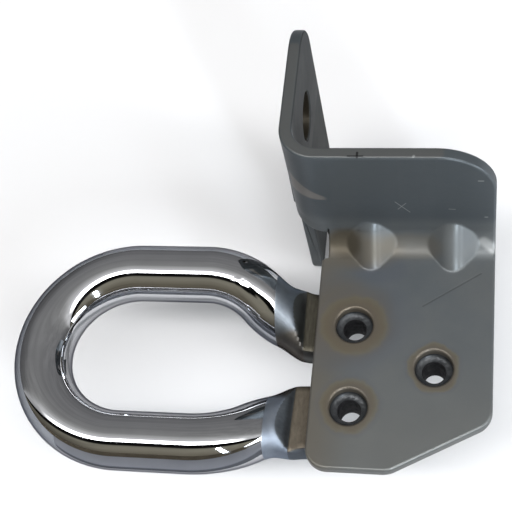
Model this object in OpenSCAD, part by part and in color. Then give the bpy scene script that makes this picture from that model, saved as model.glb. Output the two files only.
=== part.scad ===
// Bolt-on tow hook: a forged round-bar loop with a flattened three-hole pad,
// welded under a bent sheet bracket. Millimetres, +Z up, +X away from the loop's nose.
// The drawing frame has x = 0 on the base plate's loop-side edge, y = 0 on the loop's
// centre line and z = 0 on the base plate's top. The finished part is then moved so that
// the side bolt hole, where the outer face of the side flange seats, is the origin.

/* [Bracket sheet] */
// Thickness of the bracket's steel sheet
sheet_t = 6; // [5:0.5:7]
// Inside radius of the bend between the base plate and the wall
wall_bend_r = 11; // [8:0.5:13]
// Inside radius of the bend between the wall and the side flange
flange_bend_r = 11.2; // [9:0.2:13]
// Width of the base plate, along the wall
plate_w = 83; // [80:1:95]
// Depth of the base plate on the near side of the loop's centre line
plate_near = 50.5; // [48:0.5:60]
// Depth on the far side of the centre line, up to the wall's front face
plate_far = 67; // [64:0.5:75]
// Radius on the base plate's near corners
plate_corner_r = 10; // [6:0.5:12]
// Distance of the slanted edge's start from the loop-side edge, along the near edge
slant_start = 38; // [34:1:44]
// Rise of the slanted edge on the side away from the loop
slant_rise = 25; // [18:1:28]

/* [Wall] */
// Height of the wall and the side flange above the base plate's top
wall_h = 72; // [64:1:85]
// Radius on the wall's free top corner
wall_corner_r = 26.5; // [15:0.5:32]
// Height of the wall's lower edge beside the base plate, above the plate's top
wall_lip = 6; // [4:0.5:8]

/* [Stiffening darts] */
// How far each dart's crest reaches up the wall and along the base plate
dart_reach = 17; // [14:0.5:20]
// Radius on the dart's crest
dart_crest_r = 8; // [7:0.5:10]
// Slope of the dart's two flanks
dart_flank_deg = 40; // [34:1:46]
// Place of the first dart along the wall
dart_1_x = 24; // [20:0.5:30]
// Distance from the first dart to the second
dart_pitch = 39; // [36:0.5:44]

/* [Side flange] */
// Distance of the flange's outer face outboard of the base plate's edge
flange_out = 14.2; // [12:0.2:17]
// Reach of the flange behind the wall's front face
flange_reach = 84; // [76:1:100]
// Drop of the flange below the base plate's top
flange_drop = 64; // [50:1:75]
// Radius on the flange's two rear corners
flange_corner_r = 23; // [12:0.5:28]
// Radius on the flange's lower front corner
flange_toe_r = 5; // [3:0.5:8]
// Diameter of the bolt hole in the flange
side_hole_d = 24; // [14:0.5:26]
// Distance of that hole behind the wall's front face
side_hole_back = 48; // [42:1:54]
// Height of that hole above the base plate's top
side_hole_up = 36; // [28:1:42]

/* [Plate holes] */
// Diameter of the weld holes in the base plate
weld_hole_d = 17.6; // [16:0.2:19]
// Diameter of the bolt holes in the pad below them
bolt_hole_d = 10.5; // [8.5:0.5:11]
// Distance of the first pair of holes from the plate's loop-side edge
pair_x = 18.2; // [17:0.2:21]
// Distance between the holes of that pair
pair_pitch = 41.2; // [39:0.2:43]
// Distance of the single hole beyond the pair
tip_step = 38; // [34:0.5:42]
// Leg of the weld ring in each hole
weld_leg = 2.2; // [1.6:0.1:2.6]

/* [Loop bar] */
// Diameter of the loop's round bar
bar_d = 27.6; // [24:0.2:30]
// Radius of the loop's nose, to the middle of the bar
nose_r = 43.5; // [38:0.5:48]
// Straight length of each side, between the nose and the joggle
side_len = 32.5; // [20:0.5:50]
// Height of the bar's centre above the base plate's top
bar_rise = 3.8; // [0:0.2:6]
// Radius of the two bends of each joggle, to the middle of the bar
joggle_r = 36; // [30:0.5:42]
// Distance of each arm's end from the centre line
arm_end_y = 24; // [22:0.5:26]
// How far each arm's end runs in past the plate's edge
arm_end_x = 1.5; // [0:0.5:4]

/* [Forged pad] */
// Thickness of the flat pad
pad_t = 15; // [13:0.5:17]
// Bare flat between the plate's edge and the foot of the shoulder, at the centre line
shoulder_gap = 6.7; // [5:0.1:9]
// Slope of the shoulder's face, from the flat
shoulder_deg = 46; // [40:1:60]
// Turn of the shoulder's foot away from the plate's edge, wider on the near arm
shoulder_skew = 3; // [0:0.5:4]
// Half width of each arm where it becomes flat
arm_flat_r = 17.3; // [16:0.1:18]
// Metal round the middle of each of the pair's holes, out to the pad's edge
pair_rim_r = 20.7; // [19:0.1:22]
// Metal round the middle of the tip hole, out to the pad's edge
tip_rim_r = 16.5; // [14:0.5:18]

/* [Hidden] */
$fn = 96;
hull_fn = 32;
bar_sides = 32;
bend_steps = 8;
nose_steps = 24;
bar_r = bar_d / 2;
big = 400;
lap = 1;

// Wall, bends and flange, worked out from the sheet
wall_y = plate_far;
corner_out = flange_bend_r + sheet_t;
flange_x = -flange_out;
relief_w = corner_out - flange_out;
leg_y = wall_y + corner_out;
plate_end_y = wall_y - wall_bend_r;
flange_end_y = wall_y + flange_reach;
slant_deg = atan2(slant_rise, plate_w - slant_start);
dart_flank = 1.1 * dart_reach;
flank_bite = 0.06;

// Holes: the pair, then the one at the pad's tip
hole_at = [[pair_x, pair_pitch / 2], [pair_x, -pair_pitch / 2], [pair_x + tip_step, 0]];
rim_r = [pair_rim_r, pair_rim_r, tip_rim_r];
side_hole_at = [flange_x, wall_y + side_hole_back, side_hole_up];

// Joggle: each arm swings in and down at once, by two equal bends
pad_z = -sheet_t - pad_t / 2;
joggle_in = nose_r - arm_end_y;
joggle_down = bar_rise - pad_z;
joggle_shift = norm([joggle_in, joggle_down]);
joggle_way = [0, -joggle_in, -joggle_down] / joggle_shift;
joggle_deg = acos(1 - joggle_shift / (2 * joggle_r));
joggle_len = 2 * joggle_r * sin(joggle_deg);
joggle_x = arm_end_x - joggle_len;
nose_x = joggle_x - side_len;

// Moves the drawing frame to the seat of the side bolt hole
module seated() {
    translate(-side_hole_at) children();
}

// What a rounded corner takes off: the area outside an arc of radius r that touches
// the corner's two edges, which leave it at angles a and b
module corner_waste(at, a, b, r) {
    mid = (a + b) / 2;
    half = abs(b - a) / 2;
    run = r / tan(half);
    centre = at + r / sin(half) * [cos(mid), sin(mid)];
    difference() {
        polygon([
            at - [cos(mid), sin(mid)],
            at + run * [cos(a), sin(a)],
            centre,
            at + run * [cos(b), sin(b)]
        ]);
        translate(centre) circle(r);
    }
}

// Outline of the flat base plate
module plate_outline() {
    near = -plate_near;
    difference() {
        polygon([
            [0, near],
            [slant_start, near],
            [plate_w, near + slant_rise],
            [plate_w, plate_end_y],
            [0, plate_end_y]
        ]);
        corner_waste([0, near], 0, 90, plate_corner_r);
        corner_waste([slant_start, near], slant_deg, 180, plate_corner_r);
        corner_waste([plate_w, near + slant_rise], 90, 180 + slant_deg, plate_corner_r);
    }
}

// Outline of the wall above the bend, in x and z
module wall_outline() {
    difference() {
        translate([relief_w, wall_bend_r]) square([plate_w - relief_w, wall_h - wall_bend_r]);
        corner_waste([plate_w, wall_h], 180, 270, wall_corner_r);
    }
}

// Outline of the side flange, in y and z
module flange_outline() {
    difference() {
        translate([leg_y, -flange_drop]) square([flange_end_y - leg_y, flange_drop + wall_h]);
        corner_waste([flange_end_y, wall_h], 180, 270, flange_corner_r);
        corner_waste([flange_end_y, -flange_drop], 90, 180, flange_corner_r);
        corner_waste([leg_y, -flange_drop], 0, 90, flange_toe_r);
    }
}

// A quarter of a sheet bend about the origin, in the quarter where both are negative
module bend_section(inner) {
    outer = inner + sheet_t;
    difference() {
        intersection() {
            circle(outer);
            translate([-outer, -outer]) square(outer);
        }
        circle(inner);
    }
}

// Base plate, bend and wall
module plate_and_wall() {
    translate([0, 0, -sheet_t]) linear_extrude(sheet_t) plate_outline();
    translate([relief_w, plate_end_y, wall_bend_r])
        rotate([90, 0, 90])
            linear_extrude(plate_w - relief_w) mirror([1, 0]) bend_section(wall_bend_r);
    translate([0, wall_y + sheet_t, 0])
        rotate([90, 0, 0]) linear_extrude(sheet_t) wall_outline();
}

// Corner bend and side flange
module side_flange() {
    translate([relief_w, leg_y, wall_lip])
        linear_extrude(wall_h - wall_lip) bend_section(flange_bend_r);
    translate([flange_x, 0, 0])
        rotate([90, 0, 90]) linear_extrude(sheet_t) flange_outline();
}

// Section of a dart: a round crest that touches the origin, and two straight flanks that
// cross its circle by a small bite. Sunk by the sheet's thickness it is the hollow behind.
module dart_section(sunk) {
    r = dart_crest_r - sunk;
    touch = (r - flank_bite) * [sin(dart_flank_deg), cos(dart_flank_deg)];
    foot = touch + dart_flank * [cos(dart_flank_deg), -sin(dart_flank_deg)];
    translate([0, -dart_crest_r]) {
        circle(r);
        polygon([touch, foot, [-foot.x, foot.y], [-touch.x, touch.y]]);
    }
}

// Runs a section along a dart's crest, at 45 degrees across the bend
module along_dart(x, length) {
    translate([x, wall_y - dart_reach / 2, dart_reach / 2])
        rotate([45, 0, 0]) rotate([90, 0, 0]) linear_extrude(length, center = true) children();
}

// Raised side of a dart, inside the bend
module dart_ridge(x) {
    intersection() {
        along_dart(x, 2 * dart_reach) dart_section(0);
        translate([x - dart_flank, wall_y - dart_reach - lap, -lap])
            cube([2 * dart_flank, dart_reach + 2 * lap, dart_reach + 2 * lap]);
    }
}

// Hollow side of a dart, where the punch went in
module dart_hollow(x) {
    along_dart(x, 3 * dart_reach) dart_section(sheet_t);
}

module bracket() {
    color([0.40, 0.42, 0.43]) seated() difference() {
        union() {
            plate_and_wall();
            side_flange();
            for (i = [0, 1]) dart_ridge(dart_1_x + i * dart_pitch);
        }
        for (i = [0, 1]) dart_hollow(dart_1_x + i * dart_pitch);
        for (at = hole_at)
            translate([at.x, at.y, -sheet_t - lap]) cylinder(h = sheet_t + 2 * lap, d = weld_hole_d);
        translate(side_hole_at - [lap, 0, 0])
            rotate([0, 90, 0]) cylinder(h = sheet_t + 2 * lap, d = side_hole_d);
    }
}

// Middle line of the far half of the loop, as [point, direction] stations running from the
// nose to the arm's end: the joggle's first bend leaves the straight, its second bend comes
// back parallel to it
function joggle_run(a) = joggle_r * ([sin(a), 0, 0] + (1 - cos(a)) * joggle_way);
function joggle_dir(a) = [cos(a), 0, 0] + sin(a) * joggle_way;
far_line = concat(
    [for (k = [0:bend_steps])
        let (a = joggle_deg * k / bend_steps)
        [[joggle_x, nose_r, bar_rise] + joggle_run(a), joggle_dir(a)]],
    [for (k = [1:bend_steps])
        let (a = joggle_deg * (1 - k / bend_steps))
        [[arm_end_x, arm_end_y, pad_z] - joggle_run(a), joggle_dir(a)]]
);

// The near half mirrors the far one and is run the other way, and the nose joins them
near_line = [for (k = [len(far_line) - 1:-1:0])
    let (p = far_line[k][0], d = far_line[k][1])
    [[p.x, -p.y, p.z], [-d.x, d.y, -d.z]]];
nose_line = [for (k = [0:nose_steps])
    let (a = 180 * k / nose_steps)
    [[nose_x - nose_r * sin(a), -nose_r * cos(a), bar_rise], [-cos(a), sin(a), 0]]];
loop_line = concat(near_line, nose_line, far_line);

// One ring of points round the bar at a station
function bar_ring(station) =
    let (
        side = cross([0, 0, 1], station[1]) / norm(cross([0, 0, 1], station[1])),
        up = cross(station[1], side)
    )
    [for (k = [0:bar_sides - 1])
        let (a = 360 * k / bar_sides)
        station[0] + bar_r * (cos(a) * side + sin(a) * up)];

// Round bar swept along the loop's middle line, as one closed skin
module loop_bar() {
    rings = len(loop_line);
    points = [for (station = loop_line) each bar_ring(station)];
    first_end = [for (k = [0:bar_sides - 1]) k];
    last_end = [for (k = [bar_sides - 1:-1:0]) (rings - 1) * bar_sides + k];
    skin = [for (i = [0:rings - 2], k = [0:bar_sides - 1])
        let (
            here = i * bar_sides,
            next = here + bar_sides,
            turn = (k + 1) % bar_sides
        )
        each [[here + k, next + k, next + turn], [here + k, next + turn, here + turn]]];
    polyhedron(points, concat([first_end, last_end], skin));
}

// A flat disc with the rim that the round bar leaves when it is forged flat
module forged_disc(at, r) {
    translate([at.x, at.y, pad_z]) rotate_extrude($fn = hull_fn) intersection() {
        union() {
            translate([0, -bar_r]) square([r - bar_r, bar_d]);
            translate([r - bar_r, 0]) circle(bar_r, $fn = hull_fn);
        }
        translate([0, -pad_t / 2]) square([r, pad_t]);
    }
}

// One side of the pad, from where its arm becomes flat to the tip hole
module pad_side(i) {
    side = sign(hole_at[i].y);
    hull() {
        forged_disc([-shoulder_gap / 2, side * arm_end_y], arm_flat_r);
        forged_disc(hole_at[i], rim_r[i]);
        forged_disc(hole_at[2], rim_r[2]);
    }
}

// What the dies press away above the pad and up the shoulder's face
module die_relief() {
    reach = big / tan(shoulder_deg);
    rotate([90, 0, 0]) linear_extrude(big, center = true) polygon([
        [-shoulder_gap, pad_t / 2],
        [-shoulder_gap - reach, pad_t / 2 + big],
        [big, pad_t / 2 + big],
        [big, pad_t / 2]
    ]);
}

module tow_loop() {
    color([0.80, 0.82, 0.86]) seated() difference() {
        union() {
            loop_bar();
            pad_side(0);
            pad_side(1);
        }
        for (face = [0, 1])
            translate([0, 0, pad_z]) mirror([0, 0, face]) rotate([0, 0, -shoulder_skew]) die_relief();
        for (at = hole_at)
            translate([at.x, at.y, pad_z]) cylinder(h = pad_t + 2 * lap, d = bolt_hole_d, center = true);
    }
}

// Fillet of weld metal between a weld hole's wall and the pad
module weld_ring(i) {
    edge = weld_hole_d / 2;
    color([0.36, 0.35, 0.33]) seated()
        translate([hole_at[i].x, hole_at[i].y, -sheet_t]) rotate_extrude() difference() {
            translate([edge - weld_leg, 0]) square(weld_leg);
            translate([edge - weld_leg, weld_leg]) circle(weld_leg);
        }
}

tow_loop();
bracket();
weld_ring(0);  // weld_ring_far
weld_ring(1);  // weld_ring_near
weld_ring(2);  // weld_ring_tip
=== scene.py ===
import math

import bmesh
import bpy
from mathutils import Matrix, Vector


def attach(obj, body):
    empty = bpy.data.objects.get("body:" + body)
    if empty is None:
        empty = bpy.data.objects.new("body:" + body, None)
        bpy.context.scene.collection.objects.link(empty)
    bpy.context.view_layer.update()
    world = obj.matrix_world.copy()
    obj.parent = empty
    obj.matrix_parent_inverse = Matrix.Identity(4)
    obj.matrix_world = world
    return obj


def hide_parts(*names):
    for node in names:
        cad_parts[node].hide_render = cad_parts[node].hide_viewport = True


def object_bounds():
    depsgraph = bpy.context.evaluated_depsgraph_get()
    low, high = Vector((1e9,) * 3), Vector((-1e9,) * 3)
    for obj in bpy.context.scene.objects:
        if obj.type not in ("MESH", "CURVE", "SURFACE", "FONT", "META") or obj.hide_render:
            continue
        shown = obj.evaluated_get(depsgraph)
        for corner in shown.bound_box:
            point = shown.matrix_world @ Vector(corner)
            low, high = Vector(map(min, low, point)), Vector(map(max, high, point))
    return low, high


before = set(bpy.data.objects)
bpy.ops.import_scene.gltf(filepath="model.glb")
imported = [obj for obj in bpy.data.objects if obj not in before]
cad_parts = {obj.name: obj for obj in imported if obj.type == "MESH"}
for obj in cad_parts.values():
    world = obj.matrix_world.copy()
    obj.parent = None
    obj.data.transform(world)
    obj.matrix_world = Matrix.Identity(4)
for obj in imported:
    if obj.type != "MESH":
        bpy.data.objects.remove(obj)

cad_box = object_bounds()

# All sizes and places are in millimetres in the drawing frame, unless a line says otherwise
MM = 0.001
# The drawing frame's corner in the part's own frame: the base plate's loop-side edge, the
# loop's centre line and the plate's top
SHIFT = Vector((14.2, -115.0, -36.0))
QUARTER = math.radians(90)
MERGE = 1e-6
FLAT_ANGLE = math.radians(0.2)
CIRCLE_SIDES = 96

# The photograph's camera, in metres
CAMERA_AT = (0.0950, -0.3419, 0.4827)
CAMERA_RIGHT = Vector((0.9818, 0.1070, -0.1567))
CAMERA_BACK = Vector((0.1888, -0.4710, 0.8617))
CAMERA_LENS = 85.8

# Loop: a closed eye of round bar, whose arms swing in and down to the pad by two arcs each
BAR_R = 13.8
BAR_RISE = 3.8
NOSE_R = 43.5
SIDE_LEN = 32.5
PAD_Z = -13.5
FLAT_HALF = 7.5
ARM_END = Vector((1.5, 24.0, PAD_Z))
ARM_TAIL = 8.0
JOGGLE_R = 36.0
JOGGLE_SHIFT = math.hypot(NOSE_R - ARM_END.y, BAR_RISE - PAD_Z)
JOGGLE_WAY = Vector((0, ARM_END.y - NOSE_R, PAD_Z - BAR_RISE)) / JOGGLE_SHIFT
JOGGLE_ANGLE = math.acos(1 - JOGGLE_SHIFT / (2 * JOGGLE_R))
JOGGLE_X = ARM_END.x - 2 * JOGGLE_R * math.sin(JOGGLE_ANGLE)
NOSE_X = JOGGLE_X - SIDE_LEN
# Steps along the bar's line
NOSE_STEPS = 72
SIDE_STEPS = 10
FIRST_ARC_STEPS = 26
LAST_ARC_STEPS = 44
TAIL_STEPS = 8

# Where each shoulder's face meets its flat, and how far that line leans: the dies lay askew
FAR_FOOT, FAR_LEAN = 5.35, -math.tan(math.radians(1.3))
NEAR_FOOT, NEAR_LEAN = 6.7, math.tan(math.radians(2.25))
SHOULDER_SLOPE = math.tan(math.radians(57))
# Past PRESS_FROM the dies press the bar, which spreads between SPREAD_FROM and SPREAD_TO
PRESS_FROM = -32.0
PRESS_SOFT = 0.9
PRESS_GAP = 0.01
SPREAD_FROM, SPREAD_TO = -19.0, -6.0
SPREAD_R = 17.3
# Where the mirror polish ends, and how far that line leans
POLISH_END, POLISH_LEAN = -19.45, -0.0096

# Holes in the plate, far, near and tip, and the pad's forged discs
PLATE_HOLES = [Vector((18.2, 20.6, 0)), Vector((18.2, -20.6, 0)), Vector((56.2, 0, 0))]
PLATE_HOLE_R = 8.8
PAD_HOLE_R = 5.25
PAD_ROOT_X, PAD_ROOT_R = 5.0, 17.5
PAD_SIDE_R = 20.7
PAD_TIP_R = 16.5
PAD_LEVELS = 6

# Bracket: a base plate, a wall bent up from it, and a side flange bent back from the wall
SHEET_T = 6.0
EDGE_R = 1.3
PLATE_W = 83.0
PLATE_NEAR = 50.5
PLATE_FAR = 67.0
PLATE_CORNER_R = 10.0
WALL_BEND = 11.0
WALL_H = 72.0
WALL_CORNER_R = 26.5
WALL_LIP = 6.0
BEND_Y = PLATE_FAR - WALL_BEND
RELIEF_W = 3.0
SLANT_START = 38.0
SLANT_RISE = 25.0
SLANT_TURN = math.atan2(SLANT_RISE, PLATE_W - SLANT_START)
FLANGE_BEND = 11.2
FLANGE_OUT = 14.2
FLANGE_END = 151.0
FLANGE_DROP = 64.0
FLANGE_CORNER_R = 23.0
FLANGE_HEEL_R = 5.0
LEG_Y = PLATE_FAR + FLANGE_BEND + SHEET_T
BOLT_AT = (SHEET_T / 2 - FLANGE_OUT, PLATE_FAR + 48, 36)
BOLT_HOLE_R = 12.0

# Stiffening darts across the bend, and the cuts that make the sheet fine enough for them. The
# two zones are measured from the wall and from the plate's top
DART_X = [24.0, 63.0]
DART_CREST_R = 8.0
DART_FLANK = math.radians(40)
DART_REACH = 17.0
DART_HALF_W = 15.5
DART_SOFT = 0.7
DART_CUT, DART_CUTS = 0.5, 31
BEND_CUT, BEND_CUTS = 0.7, 14
CUT_ZONE = 20.0
PUSH_ZONE = 22.0

# Weld beads: a leg up the hole's wall and a bowl down to the pad's bore
BEAD_LEG = 2.2
BEAD_EDGE = 5.7
BEAD_BOWL = 2.0
BEAD_STEPS = 12
LONG_WAVE, SHORT_WAVE = 0.12, 0.05


def placed(point):
    """A point of the drawing frame in metres in the part's frame."""
    return (Vector(point) + SHIFT) * MM


def in_drawing(place):
    """A place in the part's frame as a point of the drawing frame."""
    return place / MM - SHIFT


def at_x(mm):
    return placed((mm, 0, 0)).x


def at_y(mm):
    return placed((0, mm, 0)).y


def at_z(mm):
    return placed((0, 0, mm)).z


def add_camera():
    """The camera comes first, at the photograph's viewing angle."""
    data = bpy.data.cameras.new("photo_camera")
    data.sensor_width = 36.0
    data.lens = CAMERA_LENS
    data.clip_start = 0.01
    camera = bpy.data.objects.new("photo_camera", data)
    back = CAMERA_BACK.normalized()
    up = back.cross(CAMERA_RIGHT.normalized()).normalized()
    turn = Matrix((up.cross(back), up, back)).transposed().to_4x4()
    camera.matrix_world = Matrix.Translation(CAMERA_AT) @ turn
    bpy.context.scene.collection.objects.link(camera)
    bpy.context.scene.camera = camera


add_camera()


# Small helpers for working as by hand
def only(*objects):
    bpy.ops.object.select_all(action="DESELECT")
    for o in objects:
        o.select_set(True)
    bpy.context.view_layer.objects.active = objects[0]


def edit(o):
    only(o)
    bpy.ops.object.mode_set(mode="EDIT")


def leave():
    bpy.ops.object.mode_set(mode="OBJECT")


def added(primitive, **settings):
    """The object that a primitive's operator adds, with nothing else selected."""
    bpy.ops.object.select_all(action="DESELECT")
    primitive(**settings)
    return bpy.context.object


def settle(o):
    """Moves an object's place, turn and scale into its mesh."""
    only(o)
    bpy.ops.object.transform_apply(location=True, rotation=True, scale=True)
    return o


def apply(o, kind, **settings):
    """Adds a modifier with these settings and applies it."""
    only(o)
    m = o.modifiers.new(kind.lower(), kind)
    for k, v in settings.items():
        setattr(m, k, v)
    bpy.ops.object.modifier_apply(modifier=m.name)


def combine(o, other, operation):
    """Joins or cuts one object with another, which is used up."""
    apply(o, "BOOLEAN", operation=operation, solver="EXACT", object=other)
    bpy.data.objects.remove(other, do_unlink=True)


def outward(o):
    """Merges doubles and points all faces outwards."""
    edit(o)
    bpy.ops.mesh.select_all(action="SELECT")
    bpy.ops.mesh.remove_doubles(threshold=MERGE)
    bpy.ops.mesh.normals_make_consistent(inside=False)
    leave()


def smooth(o, degrees):
    only(o)
    bpy.ops.object.shade_smooth_by_angle(angle=math.radians(degrees))


def dress(o, *materials):
    o.data.materials.clear()
    for material in materials:
        o.data.materials.append(material)


def finish_piece(o, name, node):
    o.name = name
    o.data.name = name
    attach(o, "root")
    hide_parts(node)


def soft_min(a, b, width):
    """The smaller of two numbers, rounded over where they meet."""
    h = max(width - abs(a - b), 0.0) / width
    return min(a, b) - h * h * width / 4


def soft_max(a, b, width):
    return -soft_min(-a, -b, width)


def ease(x, low, high):
    """0 below low and 1 above high, smooth in between."""
    t = min(max((x - low) / (high - low), 0.0), 1.0)
    return t * t * (3 - 2 * t)


class Nodes:
    """Short calls that add shader nodes. Each takes sockets or numbers and gives a socket."""

    def __init__(self, tree, coordinate):
        self.tree = tree
        self.place = self.add("ShaderNodeTexCoord").outputs[coordinate]

    def add(self, kind, **settings):
        n = self.tree.nodes.new(kind)
        for k, v in settings.items():
            setattr(n, k, v)
        return n

    def put(self, socket, value):
        if isinstance(value, bpy.types.NodeSocket):
            self.tree.links.new(value, socket)
        else:
            socket.default_value = value

    def apart(self):
        """The coordinate as separate x, y and z."""
        n = self.add("ShaderNodeSeparateXYZ")
        self.put(n.inputs[0], self.place)
        return n.outputs

    def maths(self, operation, a, b=0.0, clamp=False):
        n = self.add("ShaderNodeMath", operation=operation, use_clamp=clamp)
        self.put(n.inputs[0], a)
        self.put(n.inputs[1], b)
        return n.outputs[0]

    def plus(self, a, b):
        return self.maths("ADD", a, b)

    def minus(self, a, b):
        return self.maths("SUBTRACT", a, b)

    def times(self, a, b):
        return self.maths("MULTIPLY", a, b)

    def gap(self, a, b):
        """How far two values are apart."""
        return self.maths("ABSOLUTE", self.minus(a, b))

    def vector(self, operation, a, b=(0, 0, 0)):
        n = self.add("ShaderNodeVectorMath", operation=operation)
        self.put(n.inputs[0], a)
        self.put(n.inputs[1], b)
        gives_number = operation in ("LENGTH", "DISTANCE", "DOT_PRODUCT")
        return n.outputs["Value" if gives_number else "Vector"]

    def noise(self, scale, detail, rough, stretch=None):
        n = self.add("ShaderNodeTexNoise")
        where = self.vector("MULTIPLY", self.place, stretch) if stretch else self.place
        self.put(n.inputs["Vector"], where)
        self.put(n.inputs["Scale"], scale)
        self.put(n.inputs["Detail"], detail)
        self.put(n.inputs["Roughness"], rough)
        return n.outputs["Fac"]

    def ramp(self, value, stops):
        n = self.add("ShaderNodeValToRGB")
        e = n.color_ramp.elements
        while len(e) < len(stops):
            e.new(0.5)
        for slot, (at, colour) in zip(e, stops):
            slot.position = at
            slot.color = (*colour, 1.0)
        self.put(n.inputs["Fac"], value)
        return n.outputs["Color"]

    def mottle(self, colours, scale, detail=4, rough=0.6, stretch=None):
        """A colour that wanders between a dark and a light one."""
        dark, light = colours
        return self.ramp(self.noise(scale, detail, rough, stretch), [(0.3, dark), (0.7, light)])

    def range(self, value, low, high, to_low=0.0, to_high=1.0):
        """Goes smoothly from to_low, at low and below, to to_high, at high and above."""
        n = self.add("ShaderNodeMapRange", interpolation_type="SMOOTHSTEP")
        for i, v in enumerate((value, low, high, to_low, to_high)):
            self.put(n.inputs[i], v)
        return n.outputs[0]

    def falls(self, value, low, high, most=1.0):
        return self.range(value, low, high, most, 0.0)

    def mix(self, factor, a, b):
        n = self.add("ShaderNodeMix", data_type="RGBA")
        self.put(n.inputs["Factor"], factor)
        for socket, v in ((n.inputs[6], a), (n.inputs[7], b)):
            self.put(socket, (*v, 1.0) if isinstance(v, tuple) else v)
        return n.outputs[2]

    def laid(self, base, colour, mask, most):
        """The base with a colour laid over it by a mask, at most that thick."""
        return self.mix(self.times(mask, most), base, colour)

    def bump(self, height, distance, strength, onto=None):
        n = self.add("ShaderNodeBump")
        self.put(n.inputs["Strength"], strength)
        self.put(n.inputs["Distance"], distance)
        self.put(n.inputs["Height"], height)
        if onto is not None:
            self.put(n.inputs["Normal"], onto)
        return n.outputs["Normal"]


class Finish(Nodes):
    """A new material, read in the object's own coordinates."""

    def __init__(self, name):
        self.material = bpy.data.materials.new(name)
        self.material.use_nodes = True
        super().__init__(self.material.node_tree, "Object")
        self.shader = self.tree.nodes["Principled BSDF"]

    def set(self, name, value):
        self.put(self.shader.inputs[name], value)


def stroke(f, a, b, width):
    """1 on a thin straight mark between two points of the drawing frame, fading at its edge."""
    a, b = placed(a), placed(b)
    along = b - a
    from_a = f.vector("SUBTRACT", f.place, tuple(a))
    reached = f.vector("DOT_PRODUCT", from_a, tuple(along))
    n = f.add("ShaderNodeVectorMath", operation="SCALE")
    f.put(n.inputs[0], along)
    f.put(n.inputs["Scale"], f.maths("DIVIDE", reached, along.length_squared, clamp=True))
    away = f.vector("LENGTH", f.vector("SUBTRACT", from_a, n.outputs["Vector"]))
    return f.falls(away, width * MM * 0.3, width * MM)


# The forging's colours, most of them as a dark and a light one
MIRROR = (0.47, 0.475, 0.49), (0.51, 0.515, 0.53)
# a painted dark reflection for the arms' lower half inside the eye
MIRROR_UNDER_PAINTED_SHADE = (0.23, 0.24, 0.262)
SATIN_NEAR_PAINTED_LIT = (0.27, 0.305, 0.36), (0.33, 0.365, 0.42)
SATIN_FAR_PAINTED_SHADE = (0.14, 0.16, 0.185), (0.19, 0.212, 0.235)
SATIN_FLAT = (0.12, 0.125, 0.125)
SINGED = (0.075, 0.066, 0.058), (0.125, 0.112, 0.096)
# a painted dark reflection on the shoulders' faces, darker still on the far one as painted shade
SHOULDER_PAINTED_REFLECTION = (0.150, 0.168, 0.19), (0.205, 0.225, 0.245)
SHOULDER_FAR_PAINTED_SHADE = (0.088, 0.090, 0.083)
STAIN_NEAR = (0.125, 0.106, 0.083), (0.185, 0.160, 0.125)
STAIN_FAR = (0.070, 0.063, 0.049), (0.120, 0.112, 0.088)
PAD_TOP_PAINTED_SHADE = (0.03, 0.03, 0.032)
BORE_PAINTED_SHADE = (0.006, 0.006, 0.007), (0.02, 0.02, 0.022)


def shoulder_masks(f, x, y, z, far):
    """Where the pressed shoulder faces are, and where the heat-stained flats are."""
    lean = f.plus(NEAR_LEAN, f.times(far, FAR_LEAN - NEAR_LEAN))
    foot = f.minus(x, f.times(f.minus(y, at_y(0)), lean))
    foot_at = f.plus(at_x(-NEAR_FOOT), f.times(far, (NEAR_FOOT - FAR_FOOT) * MM))
    before_foot = f.minus(foot_at, foot)
    above_flat = f.minus(f.gap(z, at_z(PAD_Z)), FLAT_HALF * MM)
    face = f.times(before_foot, SHOULDER_SLOPE)
    on_face = f.falls(f.gap(above_flat, face), 0.10 * MM, 0.28 * MM)
    pressed = f.times(on_face, f.range(face, 0.2 * MM, 0.6 * MM))
    return pressed, f.falls(before_foot, 0.1 * MM, 0.6 * MM)


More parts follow.
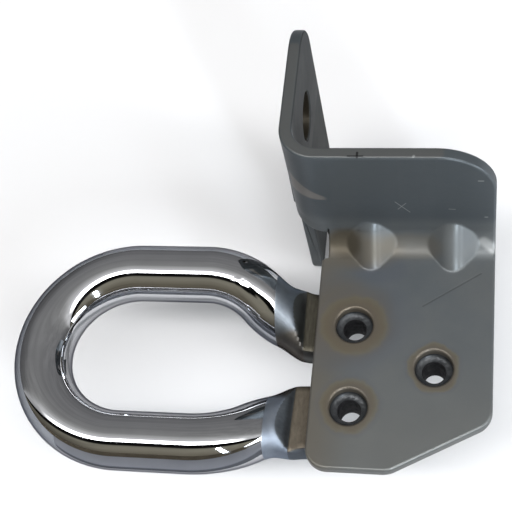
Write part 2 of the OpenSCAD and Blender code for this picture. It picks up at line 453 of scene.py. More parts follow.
def chrome_finish():
    f = Finish("polished_chrome")
    x, y, z = f.apart()
    from_middle = f.gap(y, at_y(0))
    far = f.range(y, at_y(-1), at_y(1))
    # Inside the eye, on the arms' lower half, the chrome is painted darker and bluish: a painted
    # dark reflection
    lower_half = f.falls(z, at_z(BAR_RISE - 4), at_z(BAR_RISE + 1))
    under_painted_shade = f.times(f.falls(from_middle, 36 * MM, 41 * MM), lower_half)
    under_painted_shade = f.times(under_painted_shade, f.range(x, at_x(-82), at_x(-64)))
    bright = f.laid(f.mottle(MIRROR, 60), MIRROR_UNDER_PAINTED_SHADE, under_painted_shade, 0.85)
    # The polish ends short of the shoulders, where the plating turns to a bluish satin
    polish = f.minus(x, f.times(y, POLISH_LEAN))
    polish_at = (SHIFT.x + POLISH_END - POLISH_LEAN * SHIFT.y) * MM
    satin = f.range(polish, polish_at - 0.3 * MM, polish_at + 0.4 * MM)
    # The far arm's satin is painted darker than the near arm's: painted shade that dims the far
    # arm's highlight
    dull = f.mix(far, f.mottle(SATIN_NEAR_PAINTED_LIT, 130), f.mottle(SATIN_FAR_PAINTED_SHADE, 130))
    # The arms' inner sides next to the plate are browned by the welding's heat
    wander = f.times(f.minus(f.noise(160, 4, 0.6), 0.5), 3 * MM)
    browned = f.falls(f.plus(from_middle, wander), 15 * MM, 19 * MM, most=0.9)
    dull = f.mix(browned, dull, f.mottle(SINGED, 180))
    # The shoulders' faces, where the dies pressed them, are painted dark: a painted dark
    # reflection, the far one painted darker still as painted shade. The flats between the
    # shoulders and the plate are heat-stained to a brownish grey
    pressed, past_foot = shoulder_masks(f, x, y, z, far)
    dull = f.laid(dull, SATIN_FLAT, past_foot, 0.7)
    shoulder = f.laid(f.mottle(SHOULDER_PAINTED_REFLECTION, 260, stretch=(1.6, 1.6, 0.5)), SHOULDER_FAR_PAINTED_SHADE, far, 0.85)
    base = f.mix(pressed, f.mix(satin, bright, dull), shoulder)
    on_top = f.range(z, at_z(PAD_Z + FLAT_HALF - 1.2), at_z(PAD_Z + FLAT_HALF - 0.2))
    stain = f.times(past_foot, on_top)
    brown = f.mottle(STAIN_NEAR, 220, 5, 0.65, stretch=(3, 1, 1))
    brown = f.mix(far, brown, f.mottle(STAIN_FAR, 260, 5, 0.65, stretch=(4, 0.6, 1)))
    base = f.mix(stain, base, brown)
    # Under the plate's edge the pad's top is painted black: painted shade where the plate covers
    # it
    under_plate_shade = f.times(on_top, f.range(x, at_x(2), at_x(4)))
    f.set("Base Color", f.mix(under_plate_shade, base, PAD_TOP_PAINTED_SHADE))
    f.set("Metallic", 1.0)
    f.set("Specular Tint", (0.16, 0.16, 0.18, 1.0))
    haze = f.range(f.noise(140, 3, 0.6), 0.35, 0.8, 0.03, 0.08)
    dulled = f.times(satin, f.range(f.noise(90, 3, 0.6), 0.3, 0.7, 0.38, 0.46))
    f.set("Roughness", f.plus(haze, f.plus(dulled, f.times(stain, 0.12))))
    # A fold of the forging, a ridge and a hollow, runs across the far arm's inner side where
    # the joggle begins
    ridge = stroke(f, (-37.5, 34.6, 13.8), (-27, 24.2, 5.2), 3.2)
    hollow = stroke(f, (-34.6, 35.2, 13.6), (-25.0, 25.0, 5.8), 2.4)
    fold = f.minus(ridge, f.times(hollow, 0.8))
    swell = f.bump(f.plus(f.noise(45, 2, 0.5), f.times(fold, 1.6)), 0.2 * MM, 0.25)
    grain = f.times(f.noise(900, 3, 0.6), satin)
    f.set("Normal", f.bump(grain, 0.06 * MM, 0.4, onto=swell))
    return f.material


def bore_shade_finish():
    # The pad's bores are painted near black and barely reflective: painted shade deep in the
    # holes
    f = Finish("bore_painted_shade")
    f.set("Base Color", f.mottle(BORE_PAINTED_SHADE, 500))
    f.set("Specular IOR Level", 0.08)
    f.set("Roughness", f.range(f.noise(350, 3, 0.6), 0.3, 0.7, 0.6, 0.8))
    return f.material


# The bracket's colours
COAT_DARK, COAT_LIGHT = (0.112, 0.124, 0.132), (0.134, 0.142, 0.144)
COAT_NEAR_EDGE = (0.160, 0.162, 0.153)
COAT_LOOP_SIDE = (0.135, 0.122, 0.100)
COAT_WALL_SHADE = (0.070, 0.082, 0.092)
COAT_FLANGE_SHADE = (0.034, 0.034, 0.031)
COAT_EDGE = (0.130, 0.126, 0.116)
COAT_BORE = (0.030, 0.026, 0.019)
FLECK = (0.20, 0.20, 0.19)
DARK_MARK = (0.012, 0.012, 0.013)
PALE_MARK_AND_HIGHLIGHT = (0.36, 0.37, 0.37)
PAINTED_REFLECTION_STREAK = (0.21, 0.195, 0.18)
GROOVE = (0.06, 0.06, 0.06)
BLOOM_BLUE = (0.098, 0.108, 0.128)
BLOOM_BROWN = (0.130, 0.116, 0.093)
BLOOM_BURNT = (0.075, 0.064, 0.046)
# Heat stain on the sheet round the far hole, up the bend's left half and between the darts:
# each bloom's middle, how far it reaches along x, y and z, its thickness and its colour
BLOOMS = [
    ((17, 22, 0), (34, 31, 40), 0.55, BLOOM_BLUE),
    ((14, 23, 0), (27, 25, 40), 0.85, BLOOM_BROWN),
    ((30, 50, 0), (16, 9, 6), 0.5, BLOOM_BLUE),
    ((18, 60, 3), (24, 12, 13), 0.8, BLOOM_BROWN),
    ((44, 62, 3), (22, 8, 9), 0.5, BLOOM_BROWN),
    ((12, 63, 4), (13, 9, 9), 0.85, BLOOM_BURNT),
]
# Heat tint out from each weld hole: brown, then olive gold, then a thin bluish halo
HEAT_RING = [
    (0.0, (0.118, 0.100, 0.078)),
    (0.4, (0.136, 0.112, 0.076)),
    (0.65, (0.152, 0.134, 0.088)),
    (0.85, (0.118, 0.112, 0.112)),
    (1.0, (0.098, 0.110, 0.132)),
]
HEAT_REACH = [1.35, 0.85, 0.6]
# Marks from handling and one painted highlight, each from one point to another and so wide
CROSS_MARK = [
    ((18.3, 68.1, 72), (24.9, 68.1, 72), 0.55),
    ((22.4, 67.0, 72), (22.4, 69.9, 72), 0.8),
]
PALE_MARKS_AND_HIGHLIGHT = [
    # a speck on the wall's edge
    ((47.0, 68.0, 72), (47.2, 68.3, 72), 0.8),
    # scratches on the wall
    ((61.5, 67, 29.7), (64.4, 67, 29.4), 0.35),
    ((37, 67, 35.5), (43.5, 67, 26.5), 0.3),
    ((42, 67, 34.5), (38, 67, 29), 0.25),
    ((75.0, 67, 54), (77.0, 67, 54), 0.6),
    ((78, 67, 22.8), (79, 67, 22.8), 0.6),
    # a painted highlight on the dent at the bend's right end
    ((77.5, 64.5, 4.2), (82, 62, 1.9), 3.4),
]


def flange_inside(f, x, y):
    """1 on the side flange's inner face, whose colour is painted darker than the rest as painted
    shade.
    """
    inner_x = at_x(SHEET_T - FLANGE_OUT)
    on_face = f.falls(f.gap(x, inner_x), 0.3 * MM, 0.8 * MM)
    return f.times(on_face, f.range(y, at_y(76), at_y(90)))


def coat_zones(f, x, y, z, inside):
    """The coat's colour, which changes from one part of the sheet to the next, with painted
    shade on the wall and on the flange's inner face.
    """
    base = f.mix(f.range(f.noise(22, 5, 0.6), 0.3, 0.7), COAT_DARK, COAT_LIGHT)
    # The plate greys towards its near edge and browns towards its loop side
    base = f.laid(base, COAT_NEAR_EDGE, f.range(y, at_y(40), at_y(-50)), 0.6)
    loop_side = f.falls(x, at_x(2), at_x(22), most=0.75)
    on_plate = f.falls(y, at_y(PLATE_FAR - 10), at_y(PLATE_FAR - 2))
    base = f.mix(f.times(loop_side, on_plate), base, COAT_LOOP_SIDE)
    # The upright wall is painted darker: painted shade on the side turned from the overhead
    # light
    base = f.laid(base, COAT_WALL_SHADE, f.range(z, at_z(14), at_z(24)), 0.75)
    # The flange's inner face is painted darker, as painted shade, and its hole's wall is darker
    # too; the wall's sawn top edge is lighter
    base = f.laid(base, COAT_FLANGE_SHADE, inside, 0.7)
    top_edge = f.range(z, at_z(WALL_H - 0.4), at_z(WALL_H - 0.1))
    base = f.laid(base, COAT_EDGE, top_edge, 0.5)
    from_bolt = f.vector("SUBTRACT", f.place, tuple(placed(BOLT_AT)))
    from_bolt = f.vector("LENGTH", f.vector("MULTIPLY", from_bolt, (0, 1, 1)))
    bore = f.falls(from_bolt, (BOLT_HOLE_R + 0.1) * MM, (BOLT_HOLE_R + 0.4) * MM)
    base = f.mix(bore, base, COAT_BORE)
    return f.laid(base, FLECK, f.range(f.noise(900, 4, 0.7), 0.55, 0.8), 0.10)


def heat_tinted(f, base):
    """The coat with the welding's blooms and heat rings, whose edges wander."""
    wander = f.times(f.minus(f.noise(75, 4, 0.6), 0.5), 7 * MM)
    for at, reach, most, colour in BLOOMS:
        away = f.vector("SUBTRACT", f.place, tuple(placed(at)))
        away = f.vector("MULTIPLY", away, tuple(1 / (r * MM) for r in reach))
        away = f.plus(f.vector("LENGTH", away), f.times(wander, 40))
        base = f.mix(f.falls(away, 0.5, 1.05, most), base, colour)
    for hole, reach in zip(PLATE_HOLES, HEAT_REACH):
        away = f.plus(f.vector("DISTANCE", f.place, tuple(placed(hole))), wander)
        ring_start, ring_end = PLATE_HOLE_R - 0.2, PLATE_HOLE_R + 8 * reach
        ring = f.ramp(f.range(away, ring_start * MM, ring_end * MM), HEAT_RING)
        fade_start, fade_end = PLATE_HOLE_R + 0.4 + reach, PLATE_HOLE_R + 0.8 + 8.5 * reach
        base = f.mix(f.falls(away, fade_start * MM, fade_end * MM, most=0.8), base, ring)
    return base


def marked(f, base, x, y, z):
    """The coat with the marks from handling, a painted highlight on the dent at the bend's right
    end, and a painted reflection streaked across the corner bend.
    """
    for a, b, width in CROSS_MARK:
        base = f.laid(base, DARK_MARK, stroke(f, a, b, width), 0.85)
    for a, b, width in PALE_MARKS_AND_HIGHLIGHT:
        base = f.laid(base, PALE_MARK_AND_HIGHLIGHT, stroke(f, a, b, width), 0.6)
    # A streak of painted reflection across the corner bend
    streak_top = f.minus(at_z(43.0), f.times(f.minus(x, at_x(0)), 0.66))
    below_top = f.range(f.minus(streak_top, z), 0.0, 1.2 * MM)
    reflection_streak = f.times(below_top, f.range(z, at_z(36.2), at_z(37.6)))
    reflection_streak = f.times(reflection_streak, f.falls(x, at_x(3), at_x(6.5)))
    reflection_streak = f.times(reflection_streak, f.falls(y, at_y(PLATE_FAR + 6.8), at_y(PLATE_FAR + 8.8)))
    return f.laid(base, PAINTED_REFLECTION_STREAK, reflection_streak, 0.75)


def sheet_finish():
    f = Finish("satin_coated_steel")
    x, y, z = f.apart()
    inside = flange_inside(f, x, y)
    base = heat_tinted(f, coat_zones(f, x, y, z, inside))
    base = marked(f, base, x, y, z)
    # A long line is scored into the plate
    groove = stroke(f, (50.0, 31.5, 0), (76.5, 49.5, 0), 0.6)
    f.set("Base Color", f.laid(base, GROOVE, groove, 0.4))
    f.set("Metallic", 0.5)
    f.set("Specular Tint", (0.25, 0.25, 0.26, 1.0))
    # The coat is rougher in the bend and on the flange's inner face
    near_wall = f.range(y, at_y(PLATE_FAR - 16), at_y(PLATE_FAR - 10))
    in_bend = f.times(near_wall, f.falls(z, at_z(12), at_z(16), most=0.10))
    rough = f.plus(in_bend, f.range(f.noise(60, 4, 0.6), 0.3, 0.75, 0.32, 0.40))
    f.set("Roughness", f.plus(rough, f.times(inside, 0.22)))
    grain = f.bump(f.noise(1400, 3, 0.6), 0.03 * MM, 0.5)
    dimple = f.minus(f.noise(120, 3, 0.55), f.times(groove, 0.6))
    f.set("Normal", f.bump(dimple, 0.22 * MM, 0.4, onto=grain))
    return f.material


WELD_GREY = (0.032, 0.035, 0.038), (0.065, 0.068, 0.072)


def weld_finish():
    f = Finish("weld_metal")
    f.set("Base Color", f.mottle(WELD_GREY, 400))
    f.set("Metallic", 0.6)
    f.set("Roughness", f.range(f.noise(300, 3, 0.6), 0.3, 0.7, 0.32, 0.5))
    f.set("Normal", f.bump(f.noise(260, 2, 0.5), 0.2 * MM, 0.35))
    return f.material


CHROME = chrome_finish()
SHEET = sheet_finish()
WELD = weld_finish()
BORE = bore_shade_finish()


# Loop: a line drawn along the bar's middle, given a round section
def joggle_run(angle):
    """How far the first arc has gone at an angle."""
    along = Vector((JOGGLE_R * math.sin(angle), 0, 0))
    return along + JOGGLE_WAY * JOGGLE_R * (1 - math.cos(angle))


def far_arm_line():
    start = Vector((JOGGLE_X, NOSE_R, BAR_RISE))
    points = []
    for k in range(1, SIDE_STEPS):
        points.append(start - Vector((SIDE_LEN * (1 - k / SIDE_STEPS), 0, 0)))
    for k in range(FIRST_ARC_STEPS + 1):
        points.append(start + joggle_run(JOGGLE_ANGLE * k / FIRST_ARC_STEPS))
    for k in range(1, LAST_ARC_STEPS + 1):
        points.append(ARM_END - joggle_run(JOGGLE_ANGLE * (1 - k / LAST_ARC_STEPS)))
    for k in range(1, TAIL_STEPS + 1):
        points.append(ARM_END + Vector((ARM_TAIL * k / TAIL_STEPS, 0, 0)))
    return points


def nose_line():
    points = []
    for k in range(NOSE_STEPS + 1):
        turn = math.pi * k / NOSE_STEPS
        points.append((NOSE_X - NOSE_R * math.sin(turn), -NOSE_R * math.cos(turn), BAR_RISE))
    return points


def swept_bar():
    far = far_arm_line()
    near = [(p.x, -p.y, p.z) for p in reversed(far)]
    line = near + nose_line() + far
    curve = bpy.data.curves.new("bar_line", "CURVE")
    curve.dimensions = "3D"
    curve.twist_mode = "Z_UP"
    spline = curve.splines.new("POLY")
    spline.points.add(len(line) - 1)
    for slot, p in zip(spline.points, line):
        slot.co = (*placed(p), 1)
    curve.bevel_depth = BAR_R * MM
    curve.bevel_resolution = 22
    curve.use_fill_caps = True
    bar = bpy.data.objects.new("bar", curve)
    bpy.context.scene.collection.objects.link(bar)
    only(bar)
    bpy.ops.object.convert(target="MESH")
    bar = bpy.context.object
    outward(bar)
    return bar


def arm_height(x):
    """How far the arm's middle line lies from its end along JOGGLE_WAY."""
    run = min(max(ARM_END.x - x, 0), -2 * JOGGLE_X)
    angle = math.asin(min(run / JOGGLE_R, 1))
    return JOGGLE_R * (1 - math.cos(min(angle, JOGGLE_ANGLE)))


def shoulder_foot(y):
    """Where the shoulder's face meets the flat."""
    return FAR_LEAN * y - FAR_FOOT if y > 0 else NEAR_LEAN * y - NEAR_FOOT


def press_arms(bar):
    """Flattens the arms between the dies: the bar spreads sideways and its top and bottom
    are pressed to the shoulder's slope and the pad's flat."""
    for v in bar.data.vertices:
        p = in_drawing(v.co)
        if p.x < PRESS_FROM:
            continue
        side = 1 if p.y > 0 else -1
        middle_y = side * (ARM_END.y - JOGGLE_WAY.y * arm_height(p.x))
        spread = 1 + (SPREAD_R / BAR_R - 1) * ease(p.x, SPREAD_FROM, SPREAD_TO)
        p.y = middle_y + (p.y - middle_y) * spread
        slope = (shoulder_foot(p.y) - p.x) * SHOULDER_SLOPE
        limit = FLAT_HALF + PRESS_GAP + soft_max(slope, 0, PRESS_SOFT)
        z = soft_min(p.z - PAD_Z, limit, PRESS_SOFT)
        p.z = soft_max(z, -limit, PRESS_SOFT) + PAD_Z
        v.co = placed(p)
    bar.data.update()


def cylinder_cutter(at, r, depth, turn=(0, 0, 0)):
    return settle(added(
        bpy.ops.mesh.primitive_cylinder_add, vertices=CIRCLE_SIDES, radius=r * MM,
        depth=depth * MM, location=placed(at), rotation=turn,
    ))


def circle(at, r):
    return added(
        bpy.ops.mesh.primitive_circle_add, vertices=CIRCLE_SIDES, radius=r * MM,
        location=placed(at),
    )


def pad_half(side):
    """One side of the pad: three forged discs, rounded at their rims, with a hull round them."""
    discs = [
        (Vector((PAD_ROOT_X, side * ARM_END.y, 0)), PAD_ROOT_R),
        (PLATE_HOLES[0 if side > 0 else 1], PAD_SIDE_R),
        (PLATE_HOLES[2], PAD_TIP_R),
    ]
    rings = []
    for at, r in discs:
        for k in range(-PAD_LEVELS, PAD_LEVELS + 1):
            z = FLAT_HALF * k / PAD_LEVELS
            level_r = r - BAR_R + math.sqrt(BAR_R**2 - z * z)
            rings.append(circle((at.x, at.y, PAD_Z + z), level_r))
    only(*rings)
    bpy.ops.object.join()
    half = settle(bpy.context.object)
    edit(half)
    bpy.ops.mesh.select_all(action="SELECT")
    bpy.ops.mesh.convex_hull()
    leave()
    return half


def in_pad_hole(p):
    """Whether a point of the forging lies on the wall of one of the pad's bores."""
    if abs(p.z - PAD_Z) >= FLAT_HALF - 0.01:
        return False
    return any(math.hypot(p.x - h.x, p.y - h.y) < PAD_HOLE_R + 0.2 for h in PLATE_HOLES)


def forging():
    bar = swept_bar()
    press_arms(bar)
    pad = pad_half(1)
    combine(pad, pad_half(-1), "UNION")
    for hole in PLATE_HOLES:
        combine(pad, cylinder_cutter((hole.x, hole.y, PAD_Z), PAD_HOLE_R, 30), "DIFFERENCE")
    combine(bar, pad, "UNION")
    smooth(bar, degrees=32)
    dress(bar, CHROME, BORE)
    for face in bar.data.polygons:
        if in_pad_hole(in_drawing(face.center)):
            face.material_index = 1
    return bar


finish_piece(forging(), "tow_loop_forging", "tow_loop")


# Bracket: a slab, bent up by a spin, with the side flange spun off the wall's end
def slab(low, high):
    low, high = Vector(low), Vector(high)
    o = added(bpy.ops.mesh.primitive_cube_add, size=1, location=placed((low + high) / 2))
    o.scale = (high - low) * MM
    return settle(o)


def pick_faces(o, test):
    """Selects only the faces whose middle, in the drawing frame, and normal pass the test."""
    bm = bmesh.from_edit_mesh(o.data)
    bpy.ops.mesh.select_all(action="DESELECT")
    bpy.ops.mesh.select_mode(type="FACE")
    for f in bm.faces:
        f.select_set(test(in_drawing(f.calc_center_median()), f.normal))
    bmesh.update_edit_mesh(o.data)


def pick_edges(o, test):
    """Selects only the edges whose two ends, in the drawing frame, pass the test."""
    bm = bmesh.from_edit_mesh(o.data)
    bpy.ops.mesh.select_all(action="DESELECT")
    bpy.ops.mesh.select_mode(type="EDGE")
    for e in bm.edges:
        e.select_set(test(*(in_drawing(v.co) for v in e.verts)))
    bmesh.update_edit_mesh(o.data)


def round_corner(o, r, steps, x=None, y=None, z=None):
    """Rounds the corner edge that runs through the sheet at the given place."""

    def at_corner(a, b):
        for want, i in ((x, 0), (y, 1), (z, 2)):
            if want is not None and (abs(a[i] - want) > 0.02 or abs(b[i] - want) > 0.02):
                return False
        return abs((a - b).length - SHEET_T) < 0.05

    pick_edges(o, at_corner)
    bpy.ops.mesh.bevel(offset=r * MM, segments=steps, affect="EDGES", clamp_overlap=False)


def extrude(way):
    shift = {"value": tuple(c * MM for c in way)}
    bpy.ops.mesh.extrude_region_move(TRANSFORM_OT_translate=shift)


def plate_and_wall():
    o = slab((RELIEF_W, -PLATE_NEAR, -SHEET_T), (PLATE_W, BEND_Y, 0))
    edit(o)
    pick_faces(o, lambda m, n: n.y > 0.9)
    bend_axis = placed((0, BEND_Y, WALL_BEND))
    bpy.ops.mesh.spin(steps=28, angle=-QUARTER, center=bend_axis, axis=(1, 0, 0))
    extrude((0, 0, WALL_H - WALL_BEND))
    # The plate reaches past the relief notch at the bend's end
    pick_faces(o, lambda m, n: n.x < -0.9 and m.y < BEND_Y)
    extrude((-RELIEF_W, 0, 0))
    bpy.ops.mesh.select_all(action="SELECT")
    bpy.ops.mesh.dissolve_limited(angle_limit=FLAT_ANGLE)
    # Its near right corner is cut off at a slant
    slant = Vector((SLANT_RISE, -(PLATE_W - SLANT_START), 0)).normalized()
    cut_at = placed((SLANT_START, -PLATE_NEAR, 0))
    bpy.ops.mesh.select_all(action="SELECT")
    bpy.ops.mesh.bisect(plane_co=cut_at, plane_no=slant, use_fill=True, clear_outer=True)
    slant_near = PLATE_CORNER_R * math.tan(SLANT_TURN / 2)
    slant_right = PLATE_CORNER_R * math.tan(math.pi / 4 - SLANT_TURN / 2)
    round_corner(o, PLATE_CORNER_R, 16, x=0, y=-PLATE_NEAR)
    round_corner(o, slant_near, 6, x=SLANT_START, y=-PLATE_NEAR)
    round_corner(o, slant_right, 10, x=PLATE_W, y=SLANT_RISE - PLATE_NEAR)
    round_corner(o, WALL_CORNER_R, 24, x=PLATE_W, z=WALL_H)
    leave()
    outward(o)
    return o


def side_flange():
    o = slab((RELIEF_W, PLATE_FAR, WALL_LIP), (RELIEF_W + 1.0, PLATE_FAR + SHEET_T, WALL_H))
    edit(o)
    pick_faces(o, lambda m, n: n.x < -0.9)
    bend_axis = placed((RELIEF_W, LEG_Y, 0))
    bpy.ops.mesh.spin(steps=20, angle=QUARTER, center=bend_axis, axis=(0, 0, 1))
    leave()
    leaf = slab((-FLANGE_OUT, LEG_Y, -FLANGE_DROP), (SHEET_T - FLANGE_OUT, FLANGE_END, WALL_H))
    edit(leaf)
    round_corner(leaf, FLANGE_CORNER_R, 20, y=FLANGE_END, z=WALL_H)
    round_corner(leaf, FLANGE_CORNER_R, 20, y=FLANGE_END, z=-FLANGE_DROP)
    round_corner(leaf, FLANGE_HEEL_R, 8, y=LEG_Y, z=-FLANGE_DROP)
    leave()
    outward(o)
    combine(o, leaf, "UNION")
    return o


def dart_height(dx, sunk):
    """Height of a dart's section above its crest line, which is 0 at the crest."""
    r = DART_CREST_R - sunk
    dx = abs(dx)
    if dx < r * math.sin(DART_FLANK):
        return math.sqrt(r * r - dx * dx) - DART_CREST_R
    return r / math.cos(DART_FLANK) - dx * math.tan(DART_FLANK) - DART_CREST_R


def in_cut_zone(face):
    corners = [in_drawing(v.co) for v in face.verts]
    reaches_wall = max(p.y for p in corners) > PLATE_FAR - CUT_ZONE
    return reaches_wall and min(p.z for p in corners) < CUT_ZONE


def on_inner_face(p):
    """Whether a point of the sheet lies on the side that faces inside the bend."""
    if p.y < BEND_Y:
        return p.z > -SHEET_T / 2
    if p.z > WALL_BEND:
        return p.y < PLATE_FAR + SHEET_T / 2
    return math.hypot(p.y - BEND_Y, p.z - WALL_BEND) < WALL_BEND + SHEET_T / 2


def raise_darts(o):
    """Divides the bend finely, then pushes each dart's ridge in and its hollow after it."""
    cuts = []
    for x in DART_X:
        for k in range(-DART_CUTS, DART_CUTS + 1):
            cuts.append(((x + k * DART_CUT, 0, 0), (1, 0, 0)))
    cuts += [((0, BEND_Y - k * BEND_CUT, 0), (0, 1, 0)) for k in range(BEND_CUTS)]
    cuts += [((0, 0, WALL_BEND + k * BEND_CUT), (0, 0, 1)) for k in range(BEND_CUTS)]
    bm = bmesh.new()
    bm.from_mesh(o.data)
    for at, normal in cuts:
        near = [f for f in bm.faces if in_cut_zone(f)]
        parts = set(near)
        for f in near:
            parts.update(f.edges)
            parts.update(f.verts)
        bmesh.ops.bisect_plane(
            bm, geom=list(parts), plane_co=placed(at), plane_no=normal, dist=MERGE,
        )
    crest = Vector((0, PLATE_FAR - DART_REACH / 2, DART_REACH / 2))
    inward = Vector((0, -1, 1)).normalized()
    for v in bm.verts:
        p = in_drawing(v.co)
        if p.y < PLATE_FAR - PUSH_ZONE or p.z > PUSH_ZONE or p.x < RELIEF_W - 0.5:
            continue
        for x in DART_X:
            if abs(p.x - x) > DART_HALF_W:
                continue
            height = (p - crest).dot(inward)
            ridge = dart_height(p.x - x, 0 if on_inner_face(p) else SHEET_T)
            p = p + inward * (soft_max(height, ridge, DART_SOFT) - height)
            v.co = placed(p)
    bm.to_mesh(o.data)
    bm.free()


def dressed_bracket():
    o = plate_and_wall()
    combine(o, side_flange(), "UNION")
    for hole in PLATE_HOLES:
        cutter = cylinder_cutter((hole.x, hole.y, -SHEET_T / 2), PLATE_HOLE_R, 20)
        combine(o, cutter, "DIFFERENCE")
    cutter = cylinder_cutter(BOLT_AT, BOLT_HOLE_R, 20, turn=(0, QUARTER, 0))
    combine(o, cutter, "DIFFERENCE")
    edit(o)
    bpy.ops.mesh.select_all(action="SELECT")
    bpy.ops.mesh.remove_doubles(threshold=MERGE)
    bpy.ops.mesh.dissolve_limited(angle_limit=FLAT_ANGLE)
    leave()
    apply(
        o, "BEVEL", width=EDGE_R * MM, segments=4, limit_method="ANGLE",
        angle_limit=math.radians(50), miter_outer="MITER_ARC", use_clamp_overlap=False,
        loop_slide=False,
    )
    raise_darts(o)
    smooth(o, degrees=35)
    apply(o, "WEIGHTED_NORMAL", keep_sharp=True)
    dress(o, SHEET)
    return o


finish_piece(dressed_bracket(), "sheet_bracket", "bracket")


# Weld beads: a ring drawn up the hole's wall, then in and down the bowl to the pad's bore
def bead_profile():
    """The bead's section, as radius and height from outside to inside."""
    top = BEAD_LEG - SHEET_T
    bowl_w = PLATE_HOLE_R - BEAD_EDGE
    rings = [(PLATE_HOLE_R, -SHEET_T), (PLATE_HOLE_R, top)]
    for k in range(1, BEAD_STEPS + 1):
        turn = QUARTER * k / BEAD_STEPS
        rings.append((BEAD_EDGE + bowl_w * math.cos(turn), top - BEAD_BOWL * math.sin(turn)))
    rings.append((BEAD_EDGE - 0.1, -SHEET_T))
    return rings


def ripple(o, hole, seed):
    """Makes the bowl's surface slightly uneven, most of all half-way in."""
    for v in o.data.vertices:
        p = in_drawing(v.co)
        dx, dy = p.x - hole.x, p.y - hole.y
        r = math.hypot(dx, dy)
        if r > PLATE_HOLE_R - 0.05 or r < BEAD_EDGE + 0.05 or p.z < 0.2 - SHEET_T:
            continue
        turn = math.atan2(dy, dx)
        wave = SHORT_WAVE * math.sin(17 * turn + 2.5 * r + seed)
        wave += LONG_WAVE * math.sin(3 * turn + 2 * seed)
        p.z += wave * math.sin(math.pi * (r - BEAD_EDGE) / (PLATE_HOLE_R - BEAD_EDGE))
        v.co = placed(p)


def weld_bead(hole, name, node, seed):
    rings = bead_profile()
    first_r, first_z = rings[0]
    o = settle(circle((hole.x, hole.y, first_z), first_r))
    edit(o)
    bpy.ops.mesh.select_all(action="SELECT")
    for (r0, z0), (r1, z1) in zip(rings, rings[1:]):
        shift = {"value": (0, 0, (z1 - z0) * MM)}
        bpy.ops.mesh.extrude_edges_move(TRANSFORM_OT_translate=shift)
        centre = placed((hole.x, hole.y, z1))
        bpy.ops.transform.resize(value=(r1 / r0, r1 / r0, 1), center_override=centre)
    bpy.ops.mesh.select_all(action="DESELECT")
    bpy.ops.mesh.select_mode(type="EDGE")
    bpy.ops.mesh.select_non_manifold()
    bpy.ops.mesh.bridge_edge_loops()
    leave()
    ripple(o, hole, seed)
    outward(o)
    smooth(o, degrees=50)
    dress(o, WELD)
    finish_piece(o, name, node)


weld_bead(PLATE_HOLES[0], "weld_bead_far", "weld_ring_far", seed=0.4)
weld_bead(PLATE_HOLES[1], "weld_bead_near", "weld_ring_near", seed=2.1)
weld_bead(PLATE_HOLES[2], "weld_bead_tip", "weld_ring_tip", seed=4.0)


# Stage, in metres: a plain pale floor under the part, cards, lamps and the room
FLOOR_Z = cad_box[0].z - 0.0005
FLOOR_COLOUR = (0.80, 0.80, 0.81, 1)
NEAR_CARD = [
    (0.0, (0.32, 0.34, 0.37)),
    (0.25, (0.34, 0.36, 0.40)),
    (0.38, (0.76, 0.79, 0.86)),
    (0.94, (0.70, 0.72, 0.77)),
    (0.95, (0.26, 0.22, 0.16)),
    (1.0, (0.26, 0.22, 0.16)),
]
PLAIN_CARD = [(0.0, (0.50, 0.51, 0.54)), (1.0, (0.44, 0.45, 0.47))]
# The room over the part from the far horizon, 0, past the zenith, 0.5, to the near one, 1
ROOM = [
    (0.0, (0.17, 0.175, 0.18)),
    (0.08, (0.25, 0.25, 0.255)),
    (0.20, (0.28, 0.28, 0.285)),
    (0.31, (0.31, 0.31, 0.312)),
    (0.40, (0.34, 0.34, 0.338)),
    (0.45, (0.40, 0.40, 0.395)),
    (0.49, (0.54, 0.54, 0.53)),
    (0.55, (1.0, 1.0, 1.0)),
    (0.634, (1.0, 1.0, 1.0)),
    (0.642, (0.004, 0.004, 0.004)),
    (0.702, (0.006, 0.006, 0.005)),
    (0.728, (0.36, 0.34, 0.27)),
    (0.84, (0.29, 0.265, 0.205)),
    (0.89, (0.19, 0.172, 0.13)),
    (0.93, (0.23, 0.205, 0.155)),
    (1.0, (0.13, 0.118, 0.095)),
]
STRIP_LIGHT = 13.0


def lamp(name, at, target, size, power, colour):
    data = bpy.data.lights.new(name, "AREA")
    data.shape = "RECTANGLE"
    data.size, data.size_y = size
    data.energy = power
    data.color = colour
    o = bpy.data.objects.new(name, data)
    o.location = at
    o.rotation_euler = (Vector(target) - o.location).to_track_quat("-Z", "Y").to_euler()
    bpy.context.scene.collection.objects.link(o)


def card(name, at, size, turn, stops):
    """An upright card on the floor outside the picture, for the polished bar to reflect. Its
    colours go from its foot to its top."""
    place = (*at, FLOOR_Z + size[1] / 2)
    o = added(
        bpy.ops.mesh.primitive_plane_add, size=1, location=place, rotation=(QUARTER, 0, turn),
    )
    o.name = name
    o.scale = (*size, 1)
    f = Finish(name)
    f.set("Base Color", f.ramp(f.range(f.apart()["Y"], -0.5, 0.5), stops))
    f.set("Roughness", 1.0)
    f.set("Specular IOR Level", 0.0)
    dress(o, f.material)
    o.visible_camera = False
    o.visible_shadow = False
    o.visible_diffuse = False


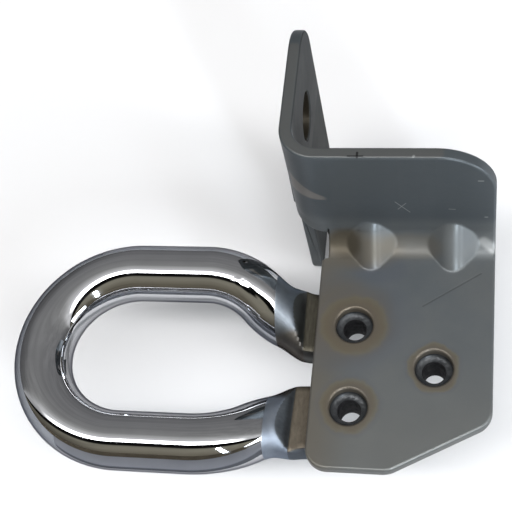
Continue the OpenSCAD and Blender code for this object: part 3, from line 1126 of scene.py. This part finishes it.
def room():
    """A room lit by a long soft strip overhead: grey behind it, a black border on its near
    side and olive below that, as the polished bar shows them."""
    world = bpy.data.worlds.new("room")
    bpy.context.scene.world = world
    world.use_nodes = True
    n = Nodes(world.node_tree, "Generated")
    x, y, z = n.apart()
    over = n.maths("DIVIDE", n.maths("ARCTAN2", z, y), math.pi)
    strip = n.times(n.range(over, 0.562, 0.612), n.falls(over, 0.634, 0.638))
    width = n.times(n.range(x, -0.85, -0.55), n.falls(x, 0.55, 0.85))
    streak = n.range(n.noise(2.2, 3, 0.6, stretch=(0.4, 4, 4)), 0.3, 0.7, 0.88, 1.1)
    low_right = n.times(n.range(x, 0.45, 0.8), n.falls(z, 0.12, 0.4))
    low_left = n.times(n.falls(x, -0.7, -0.25), n.falls(z, 0.3, 0.8))
    shade = n.times(streak, n.minus(1.0, n.times(low_right, 0.3)))
    shade = n.times(shade, n.minus(1.0, n.times(low_left, 0.4)))
    strip_light = n.times(n.times(strip, width), STRIP_LIGHT)
    back = world.node_tree.nodes["Background"]
    n.put(back.inputs["Color"], n.ramp(over, ROOM))
    n.put(back.inputs["Strength"], n.plus(shade, strip_light))


def stage():
    floor = added(bpy.ops.mesh.primitive_plane_add, size=12, location=(0, 0, FLOOR_Z))
    floor.name = "floor"
    f = Finish("pale_floor")
    f.set("Base Color", FLOOR_COLOUR)
    f.set("Roughness", 0.9)
    dress(floor, f.material)
    lamp(
        "low_right_window", at=(0.95, -0.50, 0.13), target=(0.04, -0.06, 0.0),
        size=(0.5, 0.24), power=4.0, colour=(0.90, 0.95, 1.0),
    )
    lamp(
        "near_right_window", at=(0.52, -0.92, 0.50), target=(0.0, -0.1, -0.04),
        size=(0.09, 0.50), power=6.5, colour=(0.86, 0.93, 1.0),
    )
    card("near_card", at=(-0.03, -0.205), size=(0.6, 0.094), turn=0, stops=NEAR_CARD)
    card("left_card", at=(-0.168, -0.08), size=(0.30, 0.080), turn=QUARTER, stops=PLAIN_CARD)
    card("far_card", at=(-0.10, 0.135), size=(0.42, 0.092), turn=0, stops=PLAIN_CARD)
    room()


stage()

scene = bpy.context.scene
scene.view_settings.view_transform = "Standard"
